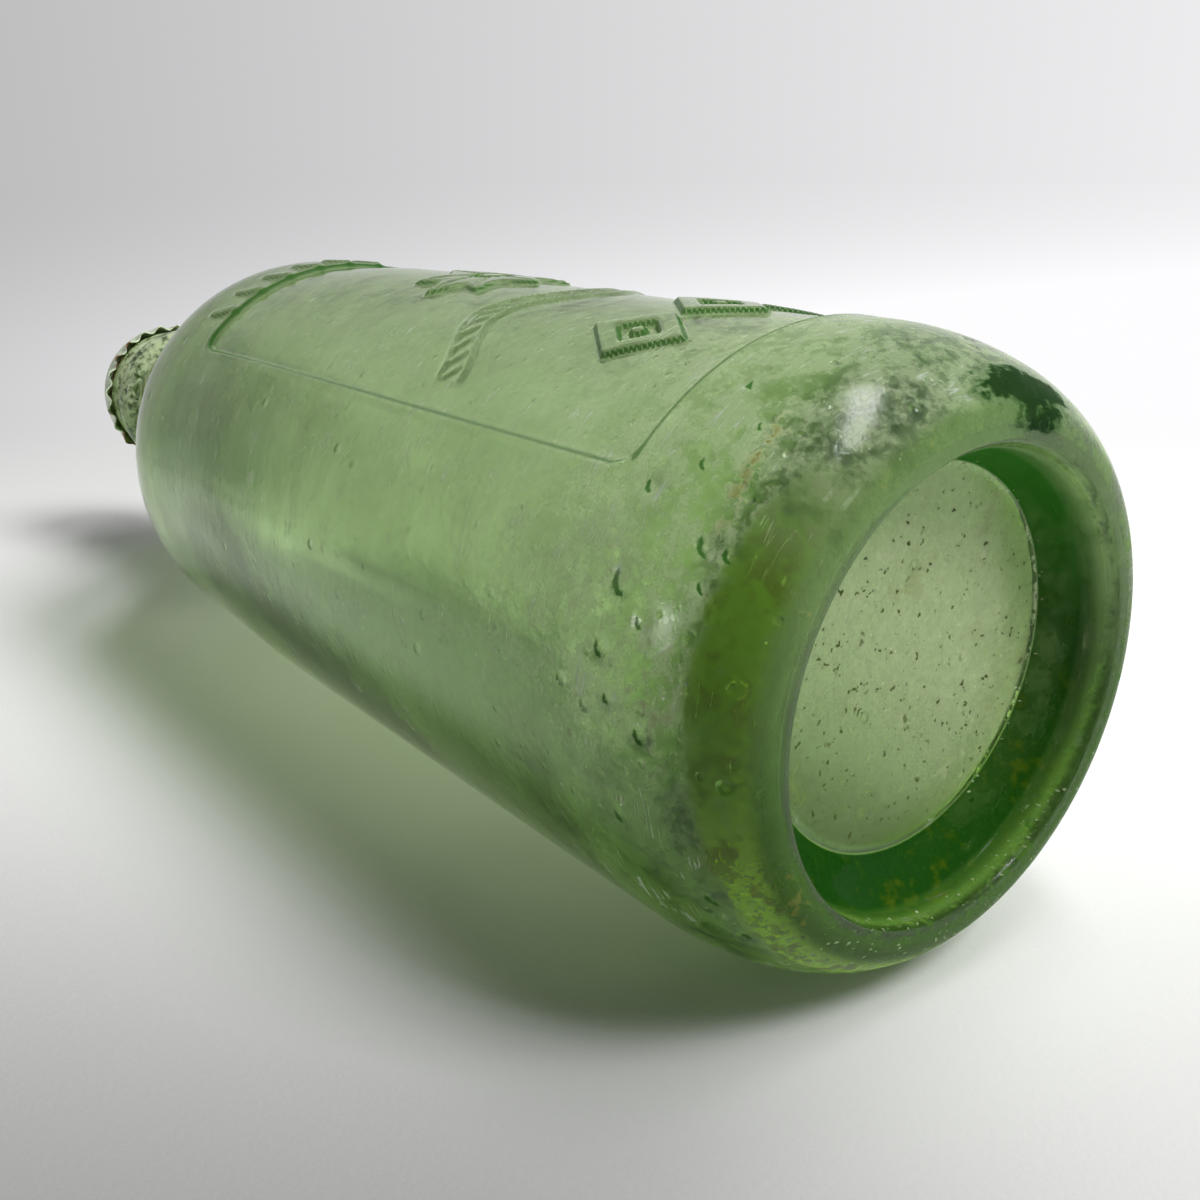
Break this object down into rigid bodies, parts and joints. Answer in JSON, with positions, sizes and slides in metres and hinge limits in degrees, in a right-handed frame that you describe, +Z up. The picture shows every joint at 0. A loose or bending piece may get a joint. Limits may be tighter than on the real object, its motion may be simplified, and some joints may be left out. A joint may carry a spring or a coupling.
{
  "type": "crown seal bottle",
  "caption": "Round pale green glass bottle lying on its side, with a sunk base, a sunk body panel and a crimped crown seal that lifts off its lip.",
  "frame": {"origin": "on the surface that the bottle lies on, under the middle of its length", "axes": "+Y along the bottle's axis from the base to the mouth, +Z up, the sunk panel facing up"},
  "size_m": [0.0666, 0.2152, 0.0667],
  "materials": {
    "green_glass": "hazy, pitted and scratched from burial",
    "green_lacquer": "worn green lacquer on tinplate",
    "cork": "dry cut cork"
  },
  "bodies": {
    "bottle": {"glass_bottle": "green_glass"},
    "crown_seal": {"crown_cap": "green_lacquer", "cork_disc": "cork"}
  },
  "joints": [
    {"name": "crown_lift", "type": "slide", "parent": "bottle", "child": "crown_seal", "axis": [0, 1, 0], "range_m": [0, 0.03]}
  ]
}
